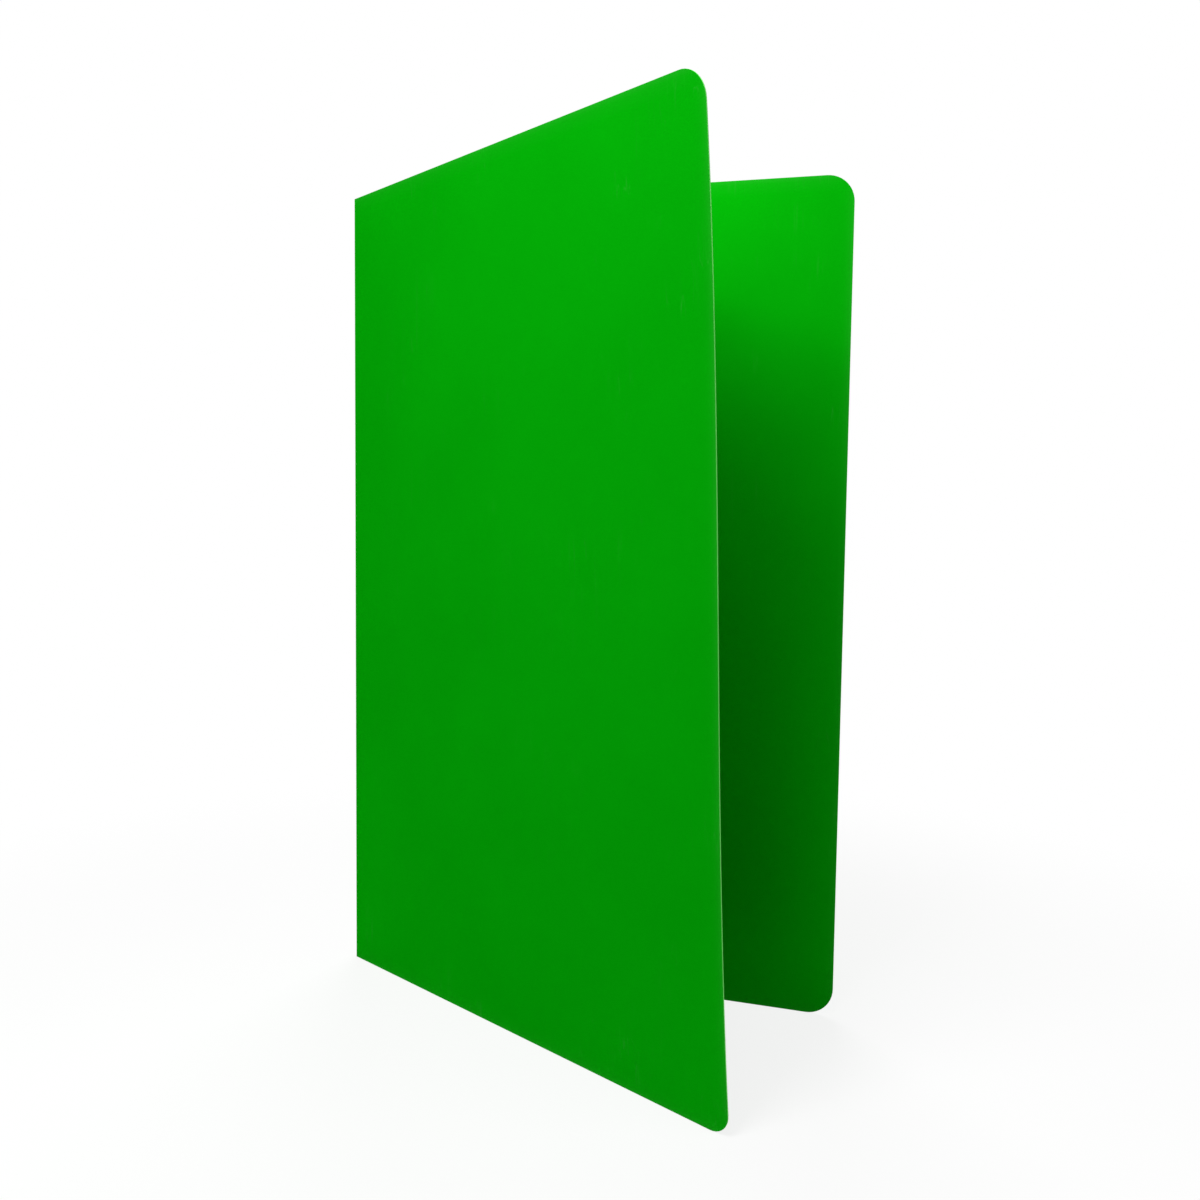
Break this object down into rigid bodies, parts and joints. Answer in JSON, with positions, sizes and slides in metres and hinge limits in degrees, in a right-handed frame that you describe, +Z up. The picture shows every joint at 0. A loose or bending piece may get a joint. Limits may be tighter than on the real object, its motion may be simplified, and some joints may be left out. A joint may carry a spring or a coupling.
{
  "type": "fastener folder",
  "caption": "Standing legal-size folder of satin green plastic sheet, scored along its spine, with a prong fastener, compressor bar and slide locks inside the back cover.",
  "frame": {"origin": "on the surface that the folder stands on, under the centre of its box, with the front cover open as in the picture", "axes": "+Z up along the folder's height, +X from the spine to the back cover's free edge, +Y out through the back cover, so the front cover swings out towards -Y"},
  "size_m": [0.2352, 0.1358, 0.372],
  "materials": {
    "green_sheet": "satin extruded polypropylene sheet, opaque mid green",
    "green_score": "pressed score of the same sheet, slightly glossier",
    "green_strip": "welded polypropylene strip, a shade deeper than the sheet",
    "tinned_steel": "bright tinned strip steel",
    "pressed_steel": "pressed nickel-plated steel"
  },
  "bodies": {
    "back": {"back_cover": "green_sheet", "fastener_strip": "green_strip", "prong_base": "tinned_steel", "compressor_bar": "pressed_steel"},
    "spine": {"spine_panel": "green_sheet", "front_hinge_web": "green_score", "back_hinge_web": "green_score"},
    "front": {"front_cover": "green_sheet"},
    "upper_prong": {"upper_prong": "tinned_steel"},
    "lower_prong": {"lower_prong": "tinned_steel"},
    "upper_lock": {"upper_slide_lock": "pressed_steel"},
    "lower_lock": {"lower_slide_lock": "pressed_steel"}
  },
  "joints": [
    {"name": "back_hinge", "type": "hinge", "parent": "back", "child": "spine", "pos_m": [-0.11737, 0.06761, 0.186], "axis": [0, 0, -1], "range_deg": [0, 90], "deforming": ["back_hinge_web"]},
    {"name": "front_hinge", "type": "hinge", "parent": "spine", "child": "front", "pos_m": [-0.11737, 0.05761, 0.186], "axis": [0, 0, -1], "range_deg": [-29.4, 60.2], "deforming": ["front_hinge_web"]},
    {"name": "upper_prong_bend", "type": "hinge", "parent": "back", "child": "upper_prong", "pos_m": [-0.09037, 0.06519, 0.221], "axis": [-1, 0, 0], "range_deg": [0, 90]},
    {"name": "lower_prong_bend", "type": "hinge", "parent": "back", "child": "lower_prong", "pos_m": [-0.09037, 0.06519, 0.151], "axis": [1, 0, 0], "range_deg": [0, 90]},
    {"name": "upper_lock_slide", "type": "slide", "parent": "back", "child": "upper_lock", "axis": [0, 0, 1], "range_m": [0, 0.024]},
    {"name": "lower_lock_slide", "type": "slide", "parent": "back", "child": "lower_lock", "axis": [0, 0, -1], "range_m": [0, 0.024]}
  ]
}
